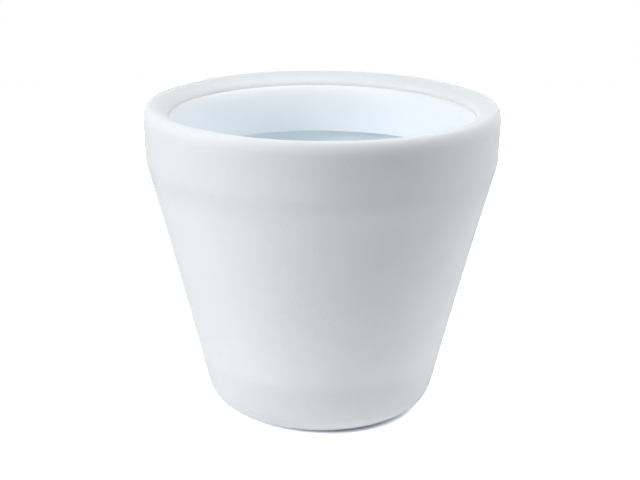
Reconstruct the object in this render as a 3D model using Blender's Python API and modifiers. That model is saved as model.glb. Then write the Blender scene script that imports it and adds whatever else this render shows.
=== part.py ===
# Round plastic planter: a rotomoulded shell with a rolled rim, a lift-out inner collar,
# a drainage platform, a drain plug and four floor pads.
# Metres, +Z up. The origin is on the floor, under the middle of the pot.

import math

import bmesh
import bpy

# Outer shell
RIM_RADIUS = 0.200            # widest, at the top of the band
TOTAL_HEIGHT = 0.353          # floor to the crest of the rim
WALL = 0.005                  # moulded wall, the same all over
BAND_HEIGHT = 0.0652          # crest down to the crease under the band
BAND_LEAN = 0.0017            # the band narrows this much from its top to its foot
BAND_STEP = 0.0008            # the band stands this far out from the body
BAND_STEP_HEIGHT = 0.004      # height over which that step is rounded
FOOT_RADIUS = 0.1248          # where the body's wall would meet the base plane
WALL_SAG = 0.0015             # the wall is hollowed this much at its middle
BASE_FILLET = 0.0310          # round between base and wall
DRAIN_RADIUS = 0.0125         # hole in the middle of the base

# Rolled rim
LIP_OUTER_WIDTH = 0.0060      # crest to the band's face
LIP_OUTER_DROP = 0.0150       # height of that round
LIP_INNER_DROP = 0.0097       # crest down to the rim's inner edge
RIM_WIDTH = 0.027             # band's face to the rim's inner edge
SEAT_DEPTH = 0.022            # crest down to the ledge that carries the collar
SEAT_LEDGE = 0.0025           # how far the ledge reaches inwards

# Inner collar
COLLAR_WALL = 0.0035
COLLAR_HEIGHT = 0.0559        # top to bottom
COLLAR_FLANGE_HEIGHT = 0.0075 # thick top that sits in the rim
COLLAR_TOP_ROUND = 0.0045     # round on the flange's inner top edge
COLLAR_SEAM_ROUND = 0.0006    # round on its outer top edge, beside the rim
COLLAR_CLEARANCE = 0.0003

# Drainage platform
PLATFORM_HEIGHT = 0.060       # inner floor to the platform's top
PLATFORM_THICKNESS = 0.003
PLATFORM_SKIRT = 0.012        # depth of the turned-down edge
PLATFORM_CLEARANCE = 0.0015   # skirt to the pot's wall
ACCESS_RADIUS = 0.016         # finger hole in the middle
LEG_COUNT = 6
LEG_FOOT_RADIUS = 0.009
LEG_FLARE = 0.002             # a leg is this much wider at its top
LEG_WALL = 0.002
LEG_MARGIN = 0.003            # leg foot to the start of the base's round
LEG_SEAT_GAP = 0.0003
LEG_WICK_RADIUS = 0.003       # hole through a leg's foot
HOLE_RADIUS = 0.0045          # drain holes in the platform
HOLE_SPACING = 0.032          # between neighbouring holes
HOLE_EDGE = 0.010             # least material round a hole

# Drain plug
PLUG_CLEARANCE = 0.0003
PLUG_FLANGE_WIDTH = 0.006
PLUG_FLANGE_THICKNESS = 0.003
PLUG_NECK_RADIUS = 0.0045
PLUG_NECK_HEIGHT = 0.006
PLUG_KNOB_RADIUS = 0.0080
PLUG_KNOB_HEIGHT = 0.0055
PLUG_CHAMFER = 0.0012

# Floor pads
PAD_COUNT = 4
PAD_RADIUS = 0.011
PAD_THICKNESS = 0.0035
PAD_BEVEL = 0.0005
PAD_SOCKET_DEPTH = 0.002
PAD_CIRCLE_RADIUS = 0.080     # circle through the pads' centres
PAD_CLEARANCE = 0.0003        # all round, and above, a pad in its socket

# Mesh fineness
TURN_STEPS = 64
SMALL_STEPS = 32
HOLE_SIDES = 12
LEG_SIDES = 16
LIP_PARTS = 7                 # straight pieces in each round of a turned profile
STEP_PARTS = 3
WALL_PARTS = 5
FILLET_PARTS = 6
HOLLOW_PARTS = 8
FLANGE_PARTS = 5
SEAM_PARTS = 3
SHARP_ANGLE = 35              # degrees, edges sharper than this stay sharp
MERGE = 0.00005
OVERCUT = 0.001               # a cutter passes a face by this much

# Heights and radii that follow
base_z = PAD_THICKNESS - PAD_SOCKET_DEPTH + PAD_CLEARANCE
floor_z = base_z + WALL
crease_z = TOTAL_HEIGHT - BAND_HEIGHT
crease_radius = RIM_RADIUS - BAND_LEAN - BAND_STEP
lip_z = TOTAL_HEIGHT - LIP_OUTER_DROP
crest_radius = RIM_RADIUS - LIP_OUTER_WIDTH
edge_radius = RIM_RADIUS - RIM_WIDTH
edge_z = TOTAL_HEIGHT - LIP_INNER_DROP
seat_z = TOTAL_HEIGHT - SEAT_DEPTH
ledge_radius = edge_radius - SEAT_LEDGE


def arc(center_r, center_z, width, height, start, end, count):
    # Points along part of an ellipse, angles in degrees from +X towards +Z
    points = []
    for i in range(count + 1):
        angle = math.radians(start + (end - start) * i / count)
        points.append((center_r + width * math.cos(angle), center_z + height * math.sin(angle)))
    return points


def wall_radius(z):
    # Outside of the tapered body: a straight cone drawn in by WALL_SAG at mid height
    t = (z - base_z) / (crease_z - base_z)
    return FOOT_RADIUS + (crease_radius - FOOT_RADIUS) * t - 4 * WALL_SAG * t * (1 - t)


def wall_angle(z):
    # The wall's lean from upright, in radians
    step = 0.0001
    return math.atan2(wall_radius(z + step) - wall_radius(z - step), 2 * step)


def inner_wall_point(z):
    # The point one wall thickness in from the outside at height z, square to the wall
    lean = wall_angle(z)
    return (wall_radius(z) - WALL * math.cos(lean), z + WALL * math.sin(lean))


def inner_wall_radius(z):
    # Inside radius of the tapered body at height z
    return wall_radius(z) - WALL / math.cos(wall_angle(z))


def fillet_end():
    # Height where the base's round meets the wall, and the wall's lean there.
    # Each hangs on the other, so a few rounds settle both.
    z = base_z + BASE_FILLET
    for _ in range(8):
        z = base_z + BASE_FILLET * (1 - math.sin(wall_angle(z)))
    return z, wall_angle(z)


fillet_z, fillet_lean = fillet_end()
fillet_center = wall_radius(fillet_z) - BASE_FILLET * math.cos(fillet_lean)


def set_material(obj, name, color, roughness):
    material = bpy.data.materials.new(name)
    material.use_nodes = True
    shader = material.node_tree.nodes["Principled BSDF"]
    shader.inputs["Base Color"].default_value = (*color, 1.0)
    shader.inputs["Roughness"].default_value = roughness
    shader.inputs["Metallic"].default_value = 0.0
    obj.data.materials.append(material)


def smooth(mesh):
    mesh.shade_smooth()
    mesh.set_sharp_from_angle(angle=math.radians(SHARP_ANGLE))


def turned(name, profile, steps, collection, closed=True):
    # A profile of (radius, height) points turned about +Z. One that isn't closed runs
    # from the axis to the axis.
    mesh = bpy.data.meshes.new(name)
    count = len(profile)
    edges = [(i, i + 1) for i in range(count - 1)]
    if closed:
        edges.append((count - 1, 0))
    mesh.from_pydata([(r, 0, z) for r, z in profile], edges, [])
    obj = bpy.data.objects.new(name, mesh)
    collection.objects.link(obj)
    screw = obj.modifiers.new("Turn", "SCREW")
    screw.axis = "Z"
    screw.angle = 2 * math.pi
    screw.steps = steps
    screw.render_steps = steps
    screw.use_merge_vertices = True
    screw.merge_threshold = MERGE
    screw.use_smooth_shade = True
    return obj


def cones(name, places, z_low, z_high, radius_low, radius_high, sides, collection):
    # One upright closed cone at each (x, y), all in one object
    mesh = bpy.data.meshes.new(name)
    bm = bmesh.new()
    for x, y in places:
        made = bmesh.ops.create_cone(bm, cap_ends=True, segments=sides, radius1=radius_low,
                                     radius2=radius_high, depth=z_high - z_low)
        bmesh.ops.translate(bm, verts=made["verts"], vec=(x, y, (z_low + z_high) / 2))
    bm.to_mesh(mesh)
    bm.free()
    obj = bpy.data.objects.new(name, mesh)
    obj.hide_render = True
    obj.display_type = "WIRE"
    collection.objects.link(obj)
    return obj


def boolean(obj, other, operation):
    modifier = obj.modifiers.new(other.name, "BOOLEAN")
    modifier.operation = operation
    modifier.solver = "EXACT"
    modifier.object = other


def ring(count, radius, start=0.0):
    # Evenly spaced (x, y) places on a circle
    places = []
    for i in range(count):
        angle = start + 2 * math.pi * i / count
        places.append((radius * math.cos(angle), radius * math.sin(angle)))
    return places


def pad_places():
    return ring(PAD_COUNT, PAD_CIRCLE_RADIUS, math.pi / PAD_COUNT)


def shell_profile():
    # Down the outside: half the lip, the band, its step, the tapered wall, the base's round
    outside = arc(crest_radius, lip_z, LIP_OUTER_WIDTH, LIP_OUTER_DROP, 90, 0, LIP_PARTS)
    band_foot_z = crease_z + BAND_STEP_HEIGHT
    outside += arc(crease_radius, band_foot_z, BAND_STEP, BAND_STEP_HEIGHT, 0, -90, STEP_PARTS)
    for i in range(1, WALL_PARTS):
        z = crease_z + (fillet_z - crease_z) * i / WALL_PARTS
        outside.append((wall_radius(z), z))
    lean = math.degrees(fillet_lean)
    outside += arc(fillet_center, base_z + BASE_FILLET, BASE_FILLET, BASE_FILLET, -lean, -90, FILLET_PARTS)
    # The drain hole, then up the inside as far as the hollow of the rim
    inside = [(DRAIN_RADIUS, base_z), (DRAIN_RADIUS, floor_z)]
    inner_round = BASE_FILLET - WALL
    inside += arc(fillet_center, floor_z + inner_round, inner_round, inner_round, -90, -lean, FILLET_PARTS)
    for i in range(1, WALL_PARTS):
        z = fillet_z + (crease_z - fillet_z) * i / WALL_PARTS
        inside.append(inner_wall_point(z))
    inside.append((RIM_RADIUS - BAND_LEAN - WALL, band_foot_z))
    # Over the hollow of the rim and down the back of its inner face to the ledge
    hollow_out = RIM_RADIUS - WALL
    hollow_in = edge_radius + WALL
    half = (hollow_out - hollow_in) / 2
    inside += arc(hollow_in + half, TOTAL_HEIGHT - WALL - half, half, half, 0, 180, HOLLOW_PARTS)
    inside.append((hollow_in, seat_z - WALL))
    # The ledge, the rim's inner face and the rest of the lip
    inside += [(ledge_radius, seat_z - WALL), (ledge_radius, seat_z), (edge_radius, seat_z)]
    inner_width = crest_radius - edge_radius
    inside += arc(crest_radius, edge_z, inner_width, LIP_INNER_DROP, 180, 90, LIP_PARTS)[:-1]
    return outside + inside


def make_shell(parts, cutters):
    shell = turned("outer_shell", shell_profile(), TURN_STEPS, parts)
    top = base_z + PAD_SOCKET_DEPTH
    radius = PAD_RADIUS + PAD_CLEARANCE
    sockets = cones("pad_sockets", pad_places(), base_z - OVERCUT, top, radius, radius, SMALL_STEPS, cutters)
    boolean(shell, sockets, "DIFFERENCE")
    set_material(shell, "white polyethylene", (0.88, 0.93, 0.96), 0.55)


def make_collar(parts):
    top = seat_z + COLLAR_CLEARANCE + COLLAR_FLANGE_HEIGHT
    bottom = top - COLLAR_HEIGHT
    flange = edge_radius - COLLAR_CLEARANCE
    outer = ledge_radius - COLLAR_CLEARANCE
    inner = outer - COLLAR_WALL
    seam = COLLAR_SEAM_ROUND
    bend = COLLAR_TOP_ROUND
    profile = arc(flange - seam, top - seam, seam, seam, 90, 0, SEAM_PARTS)
    profile += [(flange, seat_z + COLLAR_CLEARANCE), (outer, seat_z + COLLAR_CLEARANCE)]
    profile += [(outer, bottom), (inner, bottom)]
    profile += arc(inner + bend, top - bend, bend, bend, 180, 90, FLANGE_PARTS)
    collar = turned("inner_collar", profile, TURN_STEPS, parts)
    set_material(collar, "white polyethylene collar", (0.88, 0.93, 0.96), 0.5)


def hole_places(platform_radius, leg_circle):
    # Rings of drain holes that miss the access hole, the legs and the edge. A ring's count
    # is a multiple of twice the legs, so that the pattern is even.
    least = ACCESS_RADIUS + HOLE_EDGE + HOLE_RADIUS
    most = platform_radius - HOLE_EDGE - HOLE_RADIUS
    ring_count = max(1, int((most - least) / HOLE_SPACING) + 1)
    legs = ring(LEG_COUNT, leg_circle)
    leg_reach = LEG_FOOT_RADIUS + LEG_FLARE + HOLE_RADIUS + HOLE_EDGE / 2
    places = []
    for i in range(ring_count):
        radius = least + (most - least) * i / max(1, ring_count - 1)
        count = 2 * LEG_COUNT * max(1, round(math.pi * radius / HOLE_SPACING / LEG_COUNT))
        for x, y in ring(count, radius, math.pi / count):
            if all(math.hypot(x - a, y - b) > leg_reach for a, b in legs):
                places.append((x, y))
    return places


def make_platform(parts, cutters):
    top = floor_z + PLATFORM_HEIGHT
    under = top - PLATFORM_THICKNESS
    skirt_z = top - PLATFORM_SKIRT
    skirt_top = inner_wall_radius(top) - PLATFORM_CLEARANCE
    skirt_low = inner_wall_radius(skirt_z) - PLATFORM_CLEARANCE
    skirt_inner = skirt_low - PLATFORM_THICKNESS
    profile = [(skirt_top, top), (skirt_low, skirt_z), (skirt_inner, skirt_z), (skirt_inner, under)]
    profile += [(ACCESS_RADIUS, under), (ACCESS_RADIUS, top)]
    platform = turned("drainage_platform", profile, TURN_STEPS, parts)

    foot_z = floor_z + LEG_SEAT_GAP
    leg_circle = fillet_center - LEG_FOOT_RADIUS - LEG_MARGIN
    places = ring(LEG_COUNT, leg_circle)
    leg_top = LEG_FOOT_RADIUS + LEG_FLARE
    middle = top - PLATFORM_THICKNESS / 2
    legs = cones("legs", places, foot_z, middle, LEG_FOOT_RADIUS, leg_top, LEG_SIDES, cutters)
    cups = cones("leg_cups", places, foot_z + LEG_WALL, top + OVERCUT, LEG_FOOT_RADIUS - LEG_WALL,
                 leg_top - LEG_WALL, LEG_SIDES, cutters)
    wicks = cones("leg_wicks", places, foot_z - OVERCUT, foot_z + LEG_WALL + OVERCUT, LEG_WICK_RADIUS,
                  LEG_WICK_RADIUS, HOLE_SIDES, cutters)
    holes = cones("drain_holes", hole_places(skirt_inner, leg_circle), under - OVERCUT, top + OVERCUT,
                  HOLE_RADIUS, HOLE_RADIUS, HOLE_SIDES, cutters)
    boolean(platform, legs, "UNION")
    boolean(platform, cups, "DIFFERENCE")
    boolean(platform, wicks, "DIFFERENCE")
    boolean(platform, holes, "DIFFERENCE")
    set_material(platform, "white polypropylene", (0.80, 0.84, 0.87), 0.5)


def make_plug(parts):
    stem = DRAIN_RADIUS - PLUG_CLEARANCE
    flange = stem + PLUG_FLANGE_WIDTH
    seat = floor_z + PLUG_CLEARANCE
    neck_z = seat + PLUG_FLANGE_THICKNESS
    knob_z = neck_z + PLUG_NECK_HEIGHT
    top = knob_z + PLUG_KNOB_HEIGHT
    bend = PLUG_CHAMFER
    profile = [(0, top), (PLUG_KNOB_RADIUS - bend, top), (PLUG_KNOB_RADIUS, top - bend)]
    profile += [(PLUG_KNOB_RADIUS, knob_z), (PLUG_NECK_RADIUS, knob_z), (PLUG_NECK_RADIUS, neck_z)]
    profile += [(flange - bend, neck_z), (flange, neck_z - bend), (flange, seat), (stem, seat)]
    profile += [(stem, base_z + bend), (stem - bend, base_z), (0, base_z)]
    plug = turned("drain_plug", profile, SMALL_STEPS, parts, closed=False)
    set_material(plug, "black rubber plug", (0.03, 0.03, 0.032), 0.7)


def make_pads(parts):
    for number, (x, y) in enumerate(pad_places(), start=1):
        mesh = bpy.data.meshes.new(f"floor_pad_{number}")
        bm = bmesh.new()
        bmesh.ops.create_cone(bm, cap_ends=True, segments=SMALL_STEPS, radius1=PAD_RADIUS,
                              radius2=PAD_RADIUS, depth=PAD_THICKNESS)
        bm.to_mesh(mesh)
        bm.free()
        smooth(mesh)
        pad = bpy.data.objects.new(f"floor_pad_{number}", mesh)
        pad.location = (x, y, PAD_THICKNESS / 2)
        parts.objects.link(pad)
        bevel = pad.modifiers.new("Edges", "BEVEL")
        bevel.width = PAD_BEVEL
        bevel.segments = 1
        bevel.limit_method = "ANGLE"
        set_material(pad, "black rubber pad", (0.03, 0.03, 0.032), 0.75)


def main():
    for obj in list(bpy.data.objects):
        bpy.data.objects.remove(obj, do_unlink=True)
    parts = bpy.data.collections.new("planter")
    cutters = bpy.data.collections.new("cutters")
    bpy.context.scene.collection.children.link(parts)
    bpy.context.scene.collection.children.link(cutters)
    make_shell(parts, cutters)
    make_collar(parts)
    make_platform(parts, cutters)
    make_plug(parts)
    make_pads(parts)


main()
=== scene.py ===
import math

import bmesh
import bpy
from mathutils import Matrix, Vector


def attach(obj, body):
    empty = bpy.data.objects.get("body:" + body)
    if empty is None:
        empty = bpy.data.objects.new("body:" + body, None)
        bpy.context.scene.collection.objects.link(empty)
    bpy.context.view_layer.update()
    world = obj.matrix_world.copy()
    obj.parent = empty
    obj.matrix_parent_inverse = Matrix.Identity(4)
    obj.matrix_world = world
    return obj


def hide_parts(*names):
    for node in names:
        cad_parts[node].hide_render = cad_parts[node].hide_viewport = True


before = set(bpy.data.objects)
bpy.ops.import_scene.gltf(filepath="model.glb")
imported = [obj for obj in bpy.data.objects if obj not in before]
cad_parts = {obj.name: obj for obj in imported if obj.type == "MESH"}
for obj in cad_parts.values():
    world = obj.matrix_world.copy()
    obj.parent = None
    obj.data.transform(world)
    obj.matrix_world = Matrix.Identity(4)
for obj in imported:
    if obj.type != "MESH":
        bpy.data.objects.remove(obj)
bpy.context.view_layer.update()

print("frame loaded")


# Colours

def hexColour(text):
    # "#rrggbb" in sRGB to linear red, green, blue and alpha
    channels = []
    for i in (1, 3, 5):
        value = int(text[i:i + 2], 16) / 255
        channels.append(value / 12.92 if value <= 0.04045 else ((value + 0.055) / 1.055) ** 2.4)
    return (*channels, 1.0)


# Mesh helpers

weldDistance = 1e-6


def ovalPart(centre, width, height, start, end, count):
    # Part of an upright oval in the (radius, height) plane, angles in degrees from outwards
    points = []
    for i in range(count + 1):
        angle = math.radians(start + (end - start) * i / count)
        points.append((centre[0] + width * math.cos(angle), centre[1] + height * math.sin(angle)))
    return points


def softenBends(outline, spacing, reach):
    # The outline at an even spacing, with each point drawn to the mean of those around it. The
    # reach of that mean goes from one value at the start to another at the end; both ends stay.
    points = [Vector(p) for p in outline]
    lengths = [0.0]
    for a, b in zip(points, points[1:]):
        lengths.append(lengths[-1] + (b - a).length)
    count = round(lengths[-1] / spacing)
    even = []
    part = 0
    for i in range(count + 1):
        along = lengths[-1] * i / count
        while part < len(points) - 2 and lengths[part + 1] < along:
            part += 1
        share = (along - lengths[part]) / (lengths[part + 1] - lengths[part])
        even.append(points[part].lerp(points[part + 1], share))
    endShare = 0.4   # the reach stays within this share of the way to the nearer end
    tail = 3         # a mean takes in points up to this many times its reach away
    soft = [even[0]]
    for i in range(1, count):
        wide = reach[0] + (reach[1] - reach[0]) * i / count
        wide = min(wide, min(i, count - i) * spacing * endShare)
        most = int(tail * wide / spacing)
        near = range(max(0, i - most), min(count, i + most) + 1)
        weights = [math.exp(-((j - i) * spacing / wide) ** 2 / 2) for j in near]
        total = sum((even[j] * w for j, w in zip(near, weights)), Vector((0, 0)))
        soft.append(total / sum(weights))
    return [tuple(p) for p in soft + [even[-1]]]


def turnOutline(bm, outline, steps, slot=0, rounded=None, middle=(0, 0), closed=False):
    # An outline of (radius, height) points, turned once round the upright line through middle.
    # rounded gives corners of the outline a small round: {corner number: size}.
    # It is turned in a mesh of its own, because spin slows down beside other geometry.
    turned = bmesh.new()
    verts = [turned.verts.new((middle[0] + r, middle[1], z)) for r, z in outline]
    for pair in zip(verts, verts[1:]):
        turned.edges.new(pair)
    if closed:
        turned.edges.new((verts[-1], verts[0]))
    for number, size in (rounded or {}).items():
        bmesh.ops.bevel(turned, geom=[verts[number]], offset=size, offset_type="OFFSET", segments=4,
                        profile=0.5, affect="VERTICES", material=-1, clamp_overlap=True)
    bmesh.ops.spin(turned, geom=turned.verts[:] + turned.edges[:], cent=(*middle, 0), axis=(0, 0, 1),
                   angle=math.tau, steps=steps, use_merge=True, use_duplicate=False)
    for face in turned.faces:
        face.material_index = slot
        face.smooth = True
    mesh = bpy.data.meshes.new("turned")
    turned.to_mesh(mesh)
    turned.free()
    bm.from_mesh(mesh)
    bpy.data.meshes.remove(mesh)


def fillFlat(bm, height):
    # Closes a level opening, with its holes, whose open edges lie at this height
    rims = []
    for edge in bm.edges:
        level = all(abs(v.co.z - height) < weldDistance for v in edge.verts)
        if len(edge.link_faces) == 1 and level:
            rims.append(edge)
    made = bmesh.ops.triangle_fill(bm, edges=rims, use_beauty=True, use_dissolve=False)
    for face in made["geom"]:
        if isinstance(face, bmesh.types.BMFace):
            face.material_index = 0
            face.smooth = False  # keeps the rounds beside it from shading into the flat


def finishPiece(name, bm, body, nodes, materials, sharp=32):
    # Welds the mesh, turns its faces outwards and puts the piece in place of its CAD nodes
    bmesh.ops.remove_doubles(bm, verts=bm.verts, dist=weldDistance)
    bmesh.ops.recalc_face_normals(bm, faces=bm.faces)
    openEdges = sum(1 for e in bm.edges if len(e.link_faces) != 2)
    mesh = bpy.data.meshes.new(name)
    bm.to_mesh(mesh)
    bm.free()
    mesh.set_sharp_from_angle(angle=math.radians(sharp))
    for material in materials:
        mesh.materials.append(material)
    piece = bpy.data.objects.new(name, mesh)
    bpy.context.scene.collection.objects.link(piece)
    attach(piece, body)
    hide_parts(*nodes)
    triangles = sum(len(p.vertices) - 2 for p in mesh.polygons)
    print(f"{name}: {triangles} triangles, {openEdges} open edges")
    return piece


# Material helpers

def addNode(tree, kind, settings=None, links=None):
    # Settings are properties of the node, or values of its inputs. Links are input: output.
    node = tree.nodes.new(kind)
    for key, value in (settings or {}).items():
        if key == "stops":
            while len(node.color_ramp.elements) < len(value):
                node.color_ramp.elements.new(1.0)
            for element, (place, colour) in zip(node.color_ramp.elements, value):
                element.position = place
                element.color = colour
        elif isinstance(key, int) or key in node.inputs:
            node.inputs[key].default_value = value
        else:
            setattr(node, key, value)
    for key, output in (links or {}).items():
        tree.links.new(output, node.inputs[key])
    return node


def startMaterial(name, settings):
    # A Principled surface; settings hold what is the same all over
    material = bpy.data.materials.new(name)
    material.use_nodes = True
    shader = material.node_tree.nodes["Principled BSDF"]
    for key, value in settings.items():
        shader.inputs[key].default_value = value
    return material, material.node_tree, shader


# Rotationally moulded polyethylene, outside: the powder melts against a grit-blasted mould,
# so the skin is matt and finely pebbled, with very faint clouds in its cool white.
mouldedSkin = {
    "glowDepth": 0.008,      # the milky wall lets some light through, so the inside glows
    "low": "#EFF1F6",
    "middle": "#F1F3F8",
    "high": "#F3F5FA",
    "mouth": "#FBFDFF",      # painted light: the rim's inner side is painted paler and bluer, for the light through the mouth
    "mouthReach": (0.188, 0.176),
    "mouthHeight": (0.30, 0.32),
    "cloudSize": 0.070,      # metres between clouds
    "pebbleSize": 0.0032,    # real grit is about 1 mm; drawn coarser, as 1 mm is below a pixel
    "pebbleDepth": 0.00032,
    "waveSize": 0.018,       # slow unevenness of the cooled wall
    "waveDepth": 0.00008,
    "roughLow": 0.62,
    "roughHigh": 0.76,
}


def matteSkin(name, look):
    settings = {"Metallic": 0.0, "IOR": 1.5}
    if "glowDepth" in look:
        settings["Subsurface Weight"] = 1.0
        settings["Subsurface Radius"] = (1.0, 1.0, 1.0)
        settings["Subsurface Scale"] = look["glowDepth"]
    material, tree, shader = startMaterial(name, settings)
    place = addNode(tree, "ShaderNodeTexCoord").outputs["Object"]
    clouds = addNode(tree, "ShaderNodeTexNoise",
                     {"Scale": 1 / look["cloudSize"], "Detail": 3.0, "Roughness": 0.5},
                     {"Vector": place})
    tint = addNode(tree, "ShaderNodeValToRGB",
                   {"stops": [(0.30, hexColour(look["low"])), (0.50, hexColour(look["middle"])),
                              (0.72, hexColour(look["high"]))]},
                   {"Fac": clouds.outputs["Fac"]})
    colour = tint.outputs["Color"]
    # Painted light: towards the rim's inner edge and near the top, the colour goes over to the paler,
    # bluer mouth colour, standing in for light glowing through the wall
    if "mouth" in look:
        level = addNode(tree, "ShaderNodeVectorMath",
                        {"operation": "MULTIPLY", 1: (1, 1, 0)}, {0: place})
        radius = addNode(tree, "ShaderNodeVectorMath", {"operation": "LENGTH"},
                         {0: level.outputs[0]})
        far, near = look["mouthReach"]
        low, high = look["mouthHeight"]
        inwards = addNode(tree, "ShaderNodeMapRange",
                          {"interpolation_type": "SMOOTHSTEP", "From Min": far, "From Max": near},
                          {"Value": radius.outputs["Value"]})
        axes = addNode(tree, "ShaderNodeSeparateXYZ", None, {"Vector": place})
        above = addNode(tree, "ShaderNodeMapRange", {"From Min": low, "From Max": high},
                        {"Value": axes.outputs["Z"]})
        share = addNode(tree, "ShaderNodeMath", {"operation": "MULTIPLY"},
                        {0: inwards.outputs["Result"], 1: above.outputs["Result"]})
        colour = addNode(tree, "ShaderNodeMix", {"data_type": "RGBA", 7: hexColour(look["mouth"])},
                         {0: share.outputs[0], 6: colour}).outputs[2]
    pebbles = addNode(tree, "ShaderNodeTexNoise",
                      {"Scale": 1 / look["pebbleSize"], "Detail": 2.0, "Roughness": 0.55},
                      {"Vector": place})
    waves = addNode(tree, "ShaderNodeTexNoise",
                    {"Scale": 1 / look["waveSize"], "Detail": 1.0}, {"Vector": place})
    rough = addNode(tree, "ShaderNodeMapRange",
                    {"From Min": 0.3, "From Max": 0.7, "To Min": look["roughLow"],
                     "To Max": look["roughHigh"]},
                    {"Value": pebbles.outputs["Fac"]})
    slow = addNode(tree, "ShaderNodeBump", {"Strength": 1.0, "Distance": look["waveDepth"]},
                   {"Height": waves.outputs["Fac"]})
    grain = addNode(tree, "ShaderNodeBump", {"Strength": 1.0, "Distance": look["pebbleDepth"]},
                    {"Height": pebbles.outputs["Fac"], "Normal": slow.outputs["Normal"]})
    tree.links.new(colour, shader.inputs["Base Color"])
    tree.links.new(rough.outputs["Result"], shader.inputs["Roughness"])
    tree.links.new(grain.outputs["Normal"], shader.inputs["Normal"])
    return material


# Inside of the same wall: a free surface that never touched the mould, so it is smoother
# and a little glossier, with a slow orange peel. Its colour is painted paler and bluer than
# the outside's, as painted light for the bluish light inside the pot.
freeSurfaceAndPaintedLight = {
    "glowDepth": 0.008,
    "low": "#EFF8FE",
    "middle": "#F1F9FF",
    "high": "#F3FAFF",
    "cloudSize": 0.055,
    "pebbleSize": 0.0065,
    "pebbleDepth": 0.00005,
    "waveSize": 0.022,
    "waveDepth": 0.00025,
    "roughLow": 0.42,
    "roughHigh": 0.52,
}

# The collar is injection moulded from the same polyethylene: satin, with a fine even grain. Its colour
# is painted paler than the shell's outside, as painted light inside the mouth.
mouldedCollarAndPaintedLight = {
    "low": "#F7FAFC",
    "middle": "#F9FBFD",
    "high": "#FAFCFD",
    "cloudSize": 0.060,
    "pebbleSize": 0.0018,    # real spark grain is about 0.3 mm; drawn coarser to show at all
    "pebbleDepth": 0.00003,
    "waveSize": 0.030,
    "waveDepth": 0.00006,
    "roughLow": 0.46,
    "roughHigh": 0.54,
}

# White polypropylene platform, injection moulded: satin, with faint flow marks.
mouldedPlatform = {
    "low": "#F5F9FC",
    "middle": "#F7FBFD",
    "high": "#F9FCFE",
    "cloudSize": 0.025,
    "pebbleSize": 0.0015,
    "pebbleDepth": 0.00005,
    "waveSize": 0.012,
    "waveDepth": 0.00005,
    "roughLow": 0.45,
    "roughHigh": 0.58,
}

# Moulded black rubber of the plug and the pads: dull, slightly dusty, with a sandy grain.
mouldedRubber = {
    "low": "#242425",
    "middle": "#2A2A2B",
    "high": "#343434",
    "cloudSize": 0.008,
    "pebbleSize": 0.0009,
    "pebbleDepth": 0.00004,
    "waveSize": 0.006,
    "waveDepth": 0.00003,
    "roughLow": 0.62,
    "roughHigh": 0.78,
}

outsideSkin = matteSkin("rotomoulded polyethylene, grit-blasted mould face", mouldedSkin)
insideSkin = matteSkin("rotomoulded polyethylene, free inner face", freeSurfaceAndPaintedLight)
collarSkin = matteSkin("injection moulded polyethylene collar", mouldedCollarAndPaintedLight)
platformSkin = matteSkin("injection moulded white polypropylene", mouldedPlatform)
rubberSkin = matteSkin("moulded black EPDM rubber", mouldedRubber)
print("materials made")


# Planter shell

shell = {
    "rimRadius": 0.200,
    "height": 0.353,
    "wall": 0.005,
    "bandHeight": 0.0652,    # crest to crease
    "bandLean": 0.0017,
    "bandStep": 0.0008,
    "bandStepHeight": 0.004,
    "bendSpacing": 0.002,
    "bendReach": (0.003, 0.008),     # the crease and the foot turn softly
    "footRadius": 0.1248,
    "wallSag": 0.0015,
    "baseRound": 0.031,
    "baseHeight": 0.0018,    # floor to the underside
    "drainRadius": 0.0125,
    "lipWidth": 0.006,       # crest to band
    "lipDrop": 0.015,
    "rimWidth": 0.027,       # band to the rim's inner edge
    "rimDrop": 0.0125,
    "seatDepth": 0.022,
    "seatLedge": 0.0025,
    "ledgeRound": 0.0008,
    "hollowRound": 0.002,    # where the wall's inner face goes over into the rim's hollow
    "padCircle": 0.080,      # from the axis to the middle of each pad
    "padCount": 4,
    "socketRadius": 0.0113,
    "socketDepth": 0.002,
    "socketSteps": 48,
    "arcPoints": 24,
    "stepPoints": 12,
    "hollowPoints": 20,
    "rimPoints": 32,
    "steps": 256,
}

creaseHeight = shell["height"] - shell["bandHeight"]
creaseRadius = shell["rimRadius"] - shell["bandLean"] - shell["bandStep"]
floorHeight = shell["baseHeight"] + shell["wall"]
seatHeight = shell["height"] - shell["seatDepth"]
edgeRadius = shell["rimRadius"] - shell["rimWidth"]
ledgeRadius = edgeRadius - shell["seatLedge"]


def wallRadius(z):
    # Outside of the tapered body: a cone, drawn in a little at mid height
    t = (z - shell["baseHeight"]) / (creaseHeight - shell["baseHeight"])
    straight = shell["footRadius"] + (creaseRadius - shell["footRadius"]) * t
    return straight - 4 * shell["wallSag"] * t * (1 - t)


def wallLean(z):
    # Angle of the wall from upright, from two points close above and below
    near = 0.0001
    return math.atan2(wallRadius(z + near) - wallRadius(z - near), 2 * near)


def innerWall(z):
    # The wall's inner face, square to the outside at this height
    lean = wallLean(z)
    return (wallRadius(z) - shell["wall"] * math.cos(lean), z + shell["wall"] * math.sin(lean))


# Where the base round meets the wall: its height depends on the lean there, so it is found in turns
roundHeight = shell["baseHeight"] + shell["baseRound"]
for _ in range(8):
    roundHeight = shell["baseHeight"] + shell["baseRound"] * (1 - math.sin(wallLean(roundHeight)))
roundCentre = wallRadius(roundHeight) - shell["baseRound"] * math.cos(wallLean(roundHeight))
roundLean = math.degrees(wallLean(roundHeight))


def padPlaces():
    # Evenly round the axis, the first half a step past +X
    places = []
    for i in range(shell["padCount"]):
        angle = math.tau * (i + 0.5) / shell["padCount"]
        places.append((shell["padCircle"] * math.cos(angle), shell["padCircle"] * math.sin(angle)))
    return places


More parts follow.
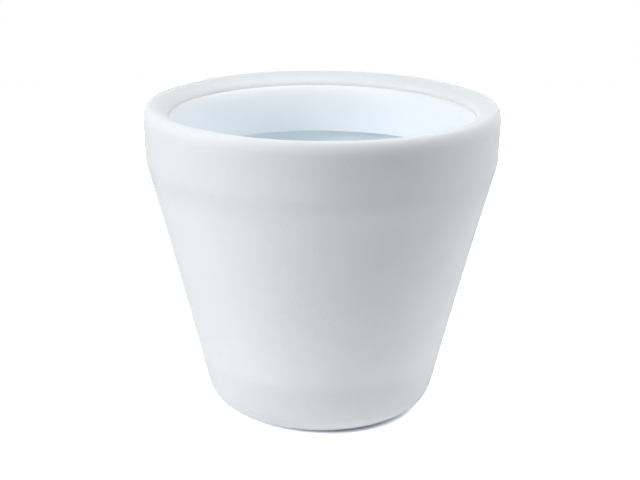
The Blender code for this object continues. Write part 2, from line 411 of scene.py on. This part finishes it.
def makeShell():
    s = shell
    crestRadius = s["rimRadius"] - s["lipWidth"]
    stepTop = creaseHeight + s["bandStepHeight"]
    points = s["arcPoints"]
    # Outside, from the crest down to the flat of the base
    outline = ovalPart((crestRadius, s["height"] - s["lipDrop"]), s["lipWidth"], s["lipDrop"],
                       90, 0, points)
    side = [outline[-1]]
    side += ovalPart((creaseRadius, stepTop), s["bandStep"], s["bandStepHeight"],
                     0, -90, s["stepPoints"])
    for i in range(1, points):
        z = creaseHeight + (roundHeight - creaseHeight) * i / points
        side.append((wallRadius(z), z))
    side += ovalPart((roundCentre, s["baseHeight"] + s["baseRound"]), s["baseRound"], s["baseRound"],
                     -roundLean, -90, points)
    outline += softenBends(side, s["bendSpacing"], s["bendReach"])[1:]
    bm = bmesh.new()
    turnOutline(bm, outline, s["steps"])
    # Drain hole through the base
    drain = [(s["drainRadius"], s["baseHeight"]), (s["drainRadius"], floorHeight)]
    turnOutline(bm, drain, s["steps"])
    # Inside, from the floor up to the rim's hollow
    inner = s["baseRound"] - s["wall"]
    inside = [(s["drainRadius"], floorHeight)]
    inside += ovalPart((roundCentre, floorHeight + inner), inner, inner, -90, -roundLean, points)
    for i in range(1, points):
        inside.append(innerWall(roundHeight + (creaseHeight - roundHeight) * i / points))
    inside.append((s["rimRadius"] - s["bandLean"] - s["wall"], stepTop))
    hollowStart = len(inside)
    hollowOut = s["rimRadius"] - s["wall"]
    hollowIn = edgeRadius + s["wall"]
    half = (hollowOut - hollowIn) / 2
    inside += ovalPart((hollowIn + half, s["height"] - s["wall"] - half), half, half,
                       0, 180, s["hollowPoints"])
    inside.append((hollowIn, seatHeight - s["wall"]))
    turnOutline(bm, inside, s["steps"], slot=1, rounded={hollowStart: s["hollowRound"]})
    # Ledge under the collar, the rim's inner face and back over the rim to the crest
    rim = [(hollowIn, seatHeight - s["wall"]), (ledgeRadius, seatHeight - s["wall"]),
           (ledgeRadius, seatHeight), (edgeRadius, seatHeight)]
    rim += ovalPart((crestRadius, s["height"] - s["rimDrop"]), crestRadius - edgeRadius, s["rimDrop"],
                    180, 90, s["rimPoints"])
    turnOutline(bm, rim, s["steps"], rounded={1: s["ledgeRound"], 2: s["ledgeRound"]})
    # Sockets for the pads, then the flat underside round them
    top = s["baseHeight"] + s["socketDepth"]
    socket = [(0, top), (s["socketRadius"], top), (s["socketRadius"], s["baseHeight"])]
    for middle in padPlaces():
        turnOutline(bm, socket, s["socketSteps"], middle=middle)
    bmesh.ops.remove_doubles(bm, verts=bm.verts, dist=weldDistance)
    fillFlat(bm, s["baseHeight"])
    finishPiece("planterShell", bm, "shell", ["outer_shell"],
                [outsideSkin, insideSkin])


makeShell()


# Inner collar, hung on the rim's ledge

collar = {
    "wall": 0.0035,
    "height": 0.0559,
    "flangeHeight": 0.0075,
    "topWidth": 0.0058,      # the inner edge is a tall oval round
    "topDrop": 0.022,
    "seamRound": 0.0003,     # outer edge, beside the rim
    "seamGap": 0.00012,
    "clearance": 0.0003,
    "seatRound": 0.0004,     # under the flange
    "edgeRound": 0.0006,
    "seamPoints": 6,
    "mouthPoints": 24,
    "steps": 256,
}


def makeCollar():
    c = collar
    top = seatHeight + c["clearance"] + c["flangeHeight"]
    bottom = top - c["height"]
    flange = edgeRadius - c["seamGap"]
    outer = ledgeRadius - c["clearance"]
    inner = outer - c["wall"]
    seam = c["seamRound"]
    outline = ovalPart((flange - seam, top - seam), seam, seam, 90, 0, c["seamPoints"])
    corner = len(outline)
    outline += [(flange, seatHeight + c["clearance"]), (outer, seatHeight + c["clearance"])]
    outline += [(outer, bottom), (inner, bottom)]
    outline += ovalPart((inner + c["topWidth"], top - c["topDrop"]), c["topWidth"], c["topDrop"],
                        180, 90, c["mouthPoints"])
    bm = bmesh.new()
    turnOutline(bm, outline, c["steps"], closed=True,
                rounded={corner: c["seatRound"], corner + 2: c["edgeRound"], corner + 3: c["edgeRound"]})
    finishPiece("planterCollar", bm, "collar", ["inner_collar"], [collarSkin])


makeCollar()


# Drainage platform: a perforated disc with a turned-down edge, on six hollow legs

platform = {
    "height": 0.060,          # above the inner floor
    "thickness": 0.003,
    "skirt": 0.012,
    "clearance": 0.0015,
    "accessRadius": 0.016,
    "legCount": 6,
    "legCircle": 0.08824,
    "legFoot": 0.009,
    "legFlare": 0.002,
    "legWall": 0.002,
    "legGap": 0.0003,
    "wickRadius": 0.003,
    "holeRadius": 0.0045,
    "holeRings": [(0.0305, 12), (0.07186, 12), (0.11322, 24)],
    "edgeRound": 0.0006,
    "topRound": 0.0012,       # upper edges of the disc and the finger hole
    "skirtFillet": 0.001,
    "border": 0.002,          # flat ring that each turned edge brings with it
    "holeBorder": 0.001,
    "holeUnderRound": 0.0004,
    "legRounds": {1: 0.0009, 2: 0.0012, 5: 0.001, 6: 0.0008},
    "steps": 192,
    "accessSteps": 96,
    "legSteps": 32,
    "holeSteps": 16,
}


def makePlatform():
    p = platform
    top = floorHeight + p["height"]
    under = top - p["thickness"]
    skirtLow = top - p["skirt"]

    def reach(z):
        # As far out as the disc can go at this height, with its play to the wall
        return wallRadius(z) - shell["wall"] / math.cos(wallLean(z)) - p["clearance"]

    bm = bmesh.new()
    soft = p["edgeRound"]
    border = p["border"]
    skirtInner = reach(skirtLow) - p["thickness"]
    # Edge of the disc: over its rounded rim, down the skirt and up behind it
    edge = [(reach(top) - border, top), (reach(top), top), (reach(skirtLow), skirtLow),
            (skirtInner, skirtLow), (skirtInner, under), (skirtInner - border, under)]
    turnOutline(bm, edge, p["steps"], rounded={1: p["topRound"], 2: soft, 3: soft, 4: p["skirtFillet"]})
    # Finger hole in the middle
    finger = p["accessRadius"]
    access = [(finger + border, top), (finger, top), (finger, under), (finger + border, under)]
    turnOutline(bm, access, p["accessSteps"], rounded={1: p["topRound"], 2: soft})
    # Drain holes, each with softened edges
    hole = p["holeRadius"]
    wide = hole + p["holeBorder"]
    drain = [(wide, top), (hole, top), (hole, under), (wide, under)]
    for radius, count in p["holeRings"]:
        for i in range(count):
            angle = math.pi * (2 * i + 1) / count
            turnOutline(bm, drain, p["holeSteps"], rounded={1: soft, 2: p["holeUnderRound"]},
                        middle=(radius * math.cos(angle), radius * math.sin(angle)))
    # Hollow legs: down the outside, across the foot, through the wick hole and up the cup
    foot = floorHeight + p["legGap"]
    legTop = p["legFoot"] + p["legFlare"]
    middleHeight = top - p["thickness"] / 2

    neck = p["legFoot"] + p["legFlare"] * (under - foot) / (middleHeight - foot)
    cupFloor = foot + p["legWall"]
    cupTop = legTop - p["legWall"]
    leg = [(neck + p["holeBorder"], under), (neck, under), (p["legFoot"], foot),
           (p["wickRadius"], foot), (p["wickRadius"], cupFloor),
           (p["legFoot"] - p["legWall"], cupFloor), (cupTop, top), (cupTop + p["holeBorder"], top)]
    for i in range(p["legCount"]):
        angle = math.tau * i / p["legCount"]
        turnOutline(bm, leg, p["legSteps"], rounded=p["legRounds"],
                    middle=(p["legCircle"] * math.cos(angle), p["legCircle"] * math.sin(angle)))
    bmesh.ops.remove_doubles(bm, verts=bm.verts, dist=weldDistance)
    fillFlat(bm, top)
    fillFlat(bm, under)
    finishPiece("drainagePlatform", bm, "platform", ["drainage_platform"],
                [platformSkin])


makePlatform()


# Drain plug: a stem that fills the hole, a flange on the inner floor and a knob to pull

plug = {
    "clearance": 0.0003,
    "flangeWidth": 0.006,
    "flangeThickness": 0.003,
    "neckRadius": 0.0045,
    "neckHeight": 0.006,
    "knobRadius": 0.008,
    "knobHeight": 0.0055,
    "knobRise": 0.0016,      # up the knob's slanted shoulder
    "knobInset": 0.0022,
    "dishRadius": 0.0035,    # shallow hollow in the knob's top
    "dishDepth": 0.0006,
    "dishEdge": 0.0004,
    "chamfer": 0.0012,
    "rounds": {1: 0.0012, 2: 0.0008, 3: 0.0008, 4: 0.0009, 5: 0.0010, 6: 0.0016, 7: 0.0010,
               8: 0.0004, 10: 0.0003, 11: 0.0003},
    "steps": 64,
}


def makePlug():
    p = plug
    stem = shell["drainRadius"] - p["clearance"]
    flange = stem + p["flangeWidth"]
    seat = floorHeight + p["clearance"]
    neck = seat + p["flangeThickness"]
    knob = neck + p["neckHeight"]
    top = knob + p["knobHeight"]
    low = shell["baseHeight"]
    outline = [(0, top - p["dishDepth"]), (p["dishRadius"], top - p["dishEdge"]),
               (p["knobRadius"] - p["knobInset"], top), (p["knobRadius"], top - p["knobRise"]),
               (p["knobRadius"], knob), (p["neckRadius"], knob), (p["neckRadius"], neck),
               (flange, neck), (flange, seat), (stem, seat), (stem, low + p["chamfer"]),
               (stem - p["chamfer"], low), (0, low)]
    bm = bmesh.new()
    turnOutline(bm, outline, p["steps"], rounded=p["rounds"])
    finishPiece("drainPlug", bm, "plug", ["drain_plug"], [rubberSkin])


makePlug()


# Floor pads: rubber buttons with a grooved tread

pad = {
    "radius": 0.011,
    "thickness": 0.0035,
    "edgeRound": 0.0005,
    "grooves": [0.0035, 0.0065],
    "grooveWidth": 0.0008,
    "grooveDepth": 0.0003,
    "steps": 64,
}


def makePads():
    p = pad
    outline = [(0, 0)]
    half = p["grooveWidth"] / 2
    for groove in p["grooves"]:
        outline += [(groove - half, 0), (groove - half / 2, p["grooveDepth"]),
                    (groove + half / 2, p["grooveDepth"]), (groove + half, 0)]
    corner = len(outline)
    outline += [(p["radius"], 0), (p["radius"], p["thickness"]), (0, p["thickness"])]
    rounded = {corner: p["edgeRound"], corner + 1: p["edgeRound"]}
    for number, middle in enumerate(padPlaces(), start=1):
        bm = bmesh.new()
        turnOutline(bm, outline, p["steps"], middle=middle, rounded=rounded)
        finishPiece(f"floorPad{number}", bm, "shell", [f"floor_pad_{number}"],
                    [rubberSkin])


makePads()


# Floor: studio paint that is pale near the pot and darker farther off. The camera sees it
# with a painted contact shadow, deepest right under the base's edge, and paler away from there,
# so that it burns out to white a few millimetres off the base. The camera sees it deeper under
# the base's edge, where the photo's contact shadow is, and paler away from there, so that it
# burns out to white a few millimetres off the base, as in the photo.

studio = {
    "floorRadius": 2.0,
    "floorSides": 96,
    "paint": (0.98, 0.55),           # near the pot, far from it
    "paintReach": (0.20, 0.80),      # metres from seenMiddle
    # Painted shadow: the camera sees the floor at 0.58 of white right at the base's edge, rising to 3.0
    # farther off; the middle is set 12 mm to +X, so the painted shadow lies deeper on the side away from
    # the key lamp
    "seenPaintedShadowToWhite": (0.58, 3.0),
    "seenMiddle": (0.012, 0.0, 0.0),
    "paintedShadowReach": (0.090, 0.125),
    "farPaint": (1.0, 4.5),          # times the camera-seen paint above, towards the floor's edge
    "farReach": (0.5, 2.0),
}


def makeFloor():
    bm = bmesh.new()
    bmesh.ops.create_circle(bm, cap_ends=True, segments=studio["floorSides"],
                            radius=studio["floorRadius"])
    mesh = bpy.data.meshes.new("studioFloor")
    bm.to_mesh(mesh)
    bm.free()
    material = bpy.data.materials.new("matt white studio paint with painted contact shadow")
    material.use_nodes = True
    tree = material.node_tree
    tree.nodes.clear()
    path = addNode(tree, "ShaderNodeLightPath")
    place = addNode(tree, "ShaderNodeTexCoord").outputs["Object"]
    away = addNode(tree, "ShaderNodeVectorMath",
                   {"operation": "DISTANCE", 1: studio["seenMiddle"]}, {0: place})

    def withDistance(paint, reach, blend="LINEAR"):
        return addNode(tree, "ShaderNodeMapRange",
                       {"interpolation_type": blend, "From Min": reach[0], "From Max": reach[1],
                        "To Min": paint[0], "To Max": paint[1]},
                       {"Value": away.outputs["Value"]}).outputs["Result"]

    paint = addNode(tree, "ShaderNodeBsdfDiffuse", None,
                    {"Color": withDistance(studio["paint"], studio["paintReach"])})
    # Camera-seen colour: a painted contact shadow by the base, burnt out to white farther off
    glare = addNode(tree, "ShaderNodeMath", {"operation": "MULTIPLY"},
                    {0: withDistance(studio["seenPaintedShadowToWhite"], studio["paintedShadowReach"], "SMOOTHSTEP"),
                     1: withDistance(studio["farPaint"], studio["farReach"])})
    seen = addNode(tree, "ShaderNodeBsdfDiffuse", None, {"Color": glare.outputs[0]})
    either = addNode(tree, "ShaderNodeMixShader", None, {0: path.outputs["Is Camera Ray"],
                                                         1: paint.outputs[0], 2: seen.outputs[0]})
    addNode(tree, "ShaderNodeOutputMaterial", None, {"Surface": either.outputs[0]})
    mesh.materials.append(material)
    floor = bpy.data.objects.new("studioFloor", mesh)
    bpy.context.scene.collection.objects.link(floor)


def makeWorld():
    # White where the camera and reflections look; dark for all other rays, so that the pot is
    # lit by the lamps alone
    world = bpy.data.worlds.new("studio")
    bpy.context.scene.world = world
    world.use_nodes = True
    tree = world.node_tree
    tree.nodes.clear()
    path = addNode(tree, "ShaderNodeLightPath")
    glossy = addNode(tree, "ShaderNodeMath", {"operation": "MAXIMUM"},
                     {0: path.outputs["Is Camera Ray"], 1: path.outputs["Is Glossy Ray"]})
    white = addNode(tree, "ShaderNodeMath", {"operation": "MAXIMUM"},
                    {0: glossy.outputs[0], 1: path.outputs["Is Transmission Ray"]})
    room = addNode(tree, "ShaderNodeBackground", {"Strength": 0.0})
    backdrop = addNode(tree, "ShaderNodeBackground", {"Color": (1, 1, 1, 1), "Strength": 1.0})
    either = addNode(tree, "ShaderNodeMixShader", None, {0: white.outputs[0], 1: room.outputs[0],
                                                         2: backdrop.outputs[0]})
    addNode(tree, "ShaderNodeOutputWorld", None, {"Surface": either.outputs[0]})


makeFloor()
makeWorld()


# Lamps: three large soft discs. Azimuth is measured from the camera's side towards +X.

lamps = {
    "keyLeft": {"azimuth": -55, "elevation": 38.5, "distance": 2.2, "size": 1.8, "power": 41.4,
                "tint": "#FEFFFF", "glare": True},
    "fillRight": {"azimuth": 93, "elevation": 39, "distance": 2.2, "size": 1.6, "power": 30.7,
                  "tint": "#FEFFFF", "glare": True},
    "backLow": {"azimuth": -165, "elevation": 12, "distance": 2.2, "size": 1.2, "power": 29.8,
                "tint": "#EAF6FF", "glare": False},
}


def makeLamps():
    middle = Vector((0, 0, shell["height"] / 2))
    for name, look in lamps.items():
        data = bpy.data.lights.new(name, "AREA")
        data.shape = "DISK"
        data.size = look["size"]
        data.energy = look["power"]
        data.color = hexColour(look["tint"])[:3]
        lamp = bpy.data.objects.new(name, data)
        azimuth = math.radians(look["azimuth"])
        elevation = math.radians(look["elevation"])
        away = Vector((math.sin(azimuth) * math.cos(elevation),
                       -math.cos(azimuth) * math.cos(elevation), math.sin(elevation)))
        lamp.location = middle + away * look["distance"]
        lamp.rotation_euler = away.to_track_quat("Z", "Y").to_euler()
        lamp.visible_camera = False
        lamp.visible_glossy = look["glare"]
        bpy.context.scene.collection.objects.link(lamp)


makeLamps()


# Camera, fitted to the photo's outline

photoView = {
    "target": (-0.00148, 0.0, 0.19215),
    "distance": 1.7342,
    "elevation": 16.885,     # degrees above the horizon
    "roll": 0.418,
    "lens": 84.87,
    "frameWidth": 36,        # mm
}


def makeCamera():
    view = photoView
    data = bpy.data.cameras.new("photoCamera")
    data.sensor_width = view["frameWidth"]
    data.lens = view["lens"]
    camera = bpy.data.objects.new("photoCamera", data)
    elevation = math.radians(view["elevation"])
    back = Vector((0, -math.cos(elevation), math.sin(elevation)))
    tilt = Matrix.Rotation(math.pi / 2 - elevation, 4, "X")
    roll = Matrix.Rotation(math.radians(view["roll"]), 4, "Z")
    place = Matrix.Translation(Vector(view["target"]) + back * view["distance"])
    camera.matrix_world = place @ tilt @ roll
    bpy.context.scene.collection.objects.link(camera)
    bpy.context.scene.camera = camera


makeCamera()
bpy.context.scene.view_settings.view_transform = "Standard"
# Light bounces many times inside a white pot; four times, the default, leaves it too dark
bpy.context.scene.cycles.diffuse_bounces = 12
print("floor, lamps and camera made")
